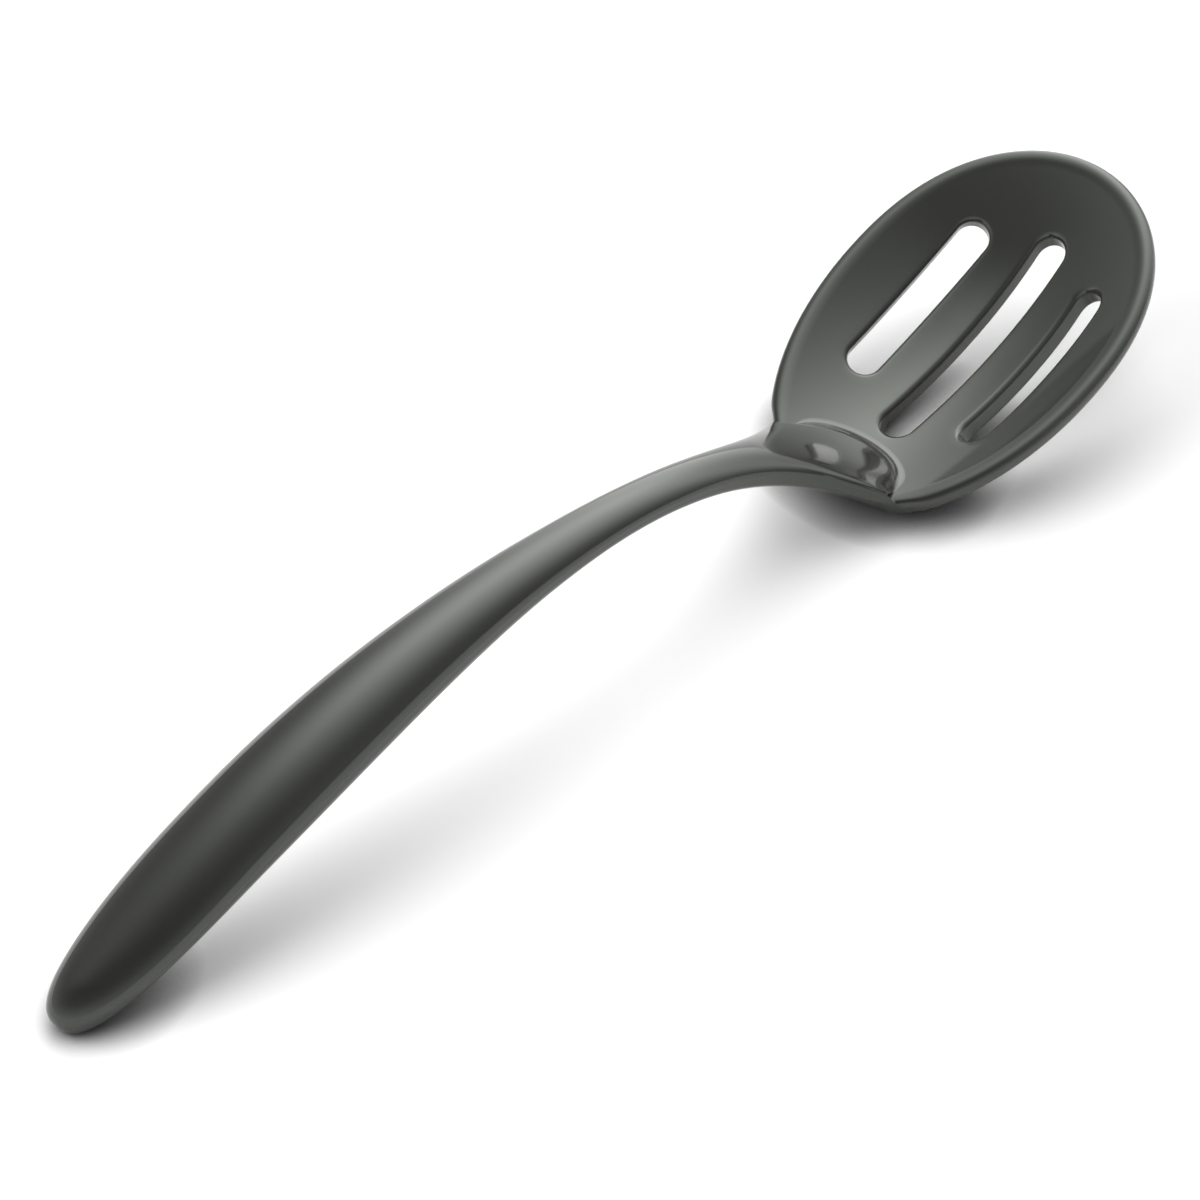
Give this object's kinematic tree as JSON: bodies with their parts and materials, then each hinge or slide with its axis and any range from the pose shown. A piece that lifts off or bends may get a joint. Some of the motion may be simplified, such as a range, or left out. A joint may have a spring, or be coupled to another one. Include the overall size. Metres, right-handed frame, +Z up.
{
  "type": "slotted serving spoon",
  "caption": "Slotted serving spoon with an oval dished bowl, long drain slots and an arched hollow handle that flares into the bowl, coated all over, for lifting food out of liquid.",
  "frame": {"origin": "on the table that the spoon rests on, under the middle of its length and width", "axes": "+X runs from the tail of the handle to the tip of the bowl, +Y to the spoon's left and +Z up, out of the open dish"},
  "size_m": [0.2603, 0.0604, 0.0359],
  "materials": {
    "bowl_coat": "glossy dark grey-green coat",
    "handle_coat": "glossy dark grey-green coat",
    "weld_coat": "glossy dark grey-green coat over ground welds"
  },
  "bodies": {
    "root": {"slotted_bowl": "bowl_coat", "handle_top_shell": "handle_coat", "handle_bottom_shell": "handle_coat", "handle_seam_weld": "weld_coat", "nose_weld": "weld_coat", "lip_weld": "weld_coat"}
  },
  "joints": []
}
